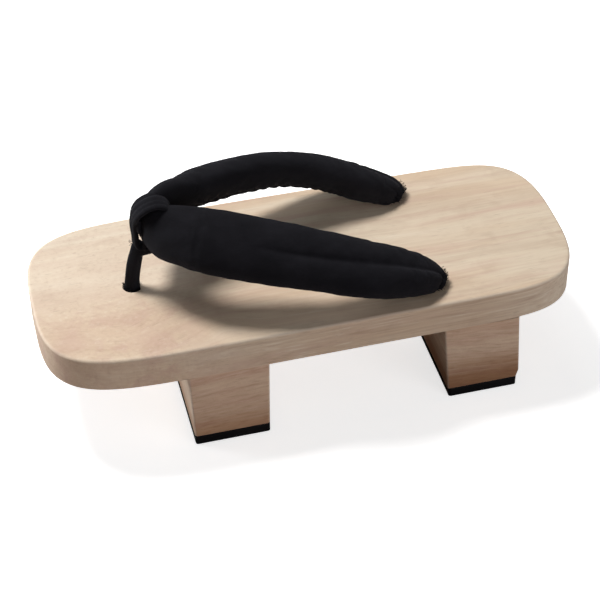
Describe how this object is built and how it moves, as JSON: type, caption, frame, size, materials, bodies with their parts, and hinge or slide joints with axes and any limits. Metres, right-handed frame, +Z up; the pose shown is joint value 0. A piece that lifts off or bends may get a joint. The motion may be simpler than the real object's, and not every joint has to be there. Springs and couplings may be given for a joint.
{
  "type": "geta sandal",
  "caption": "Wooden geta sandal: a flat board with rounded corners on two crosswise teeth, rubber pads underfoot, and a padded V strap held by a toe thong.",
  "frame": {"origin": "on the floor under the middle of the sandal, at the centre of the bottom of its bounding box", "axes": "+X along the sandal from toe to heel, +Y across it, +Z up"},
  "size_m": [0.265, 0.105, 0.1174],
  "materials": {
    "pale_wood": "planed pale pinkish wood with lengthwise grain, waxed to a low sheen",
    "black_rubber": "flat matte black sheet rubber",
    "black_cloth": "matte black woven cotton over soft stuffing"
  },
  "bodies": {
    "root": {"sole_board": "pale_wood", "front_tooth": "pale_wood", "front_pad": "black_rubber", "rear_tooth": "pale_wood", "rear_pad": "black_rubber", "strap": "black_cloth", "toe_thong": "black_cloth"}
  },
  "joints": []
}
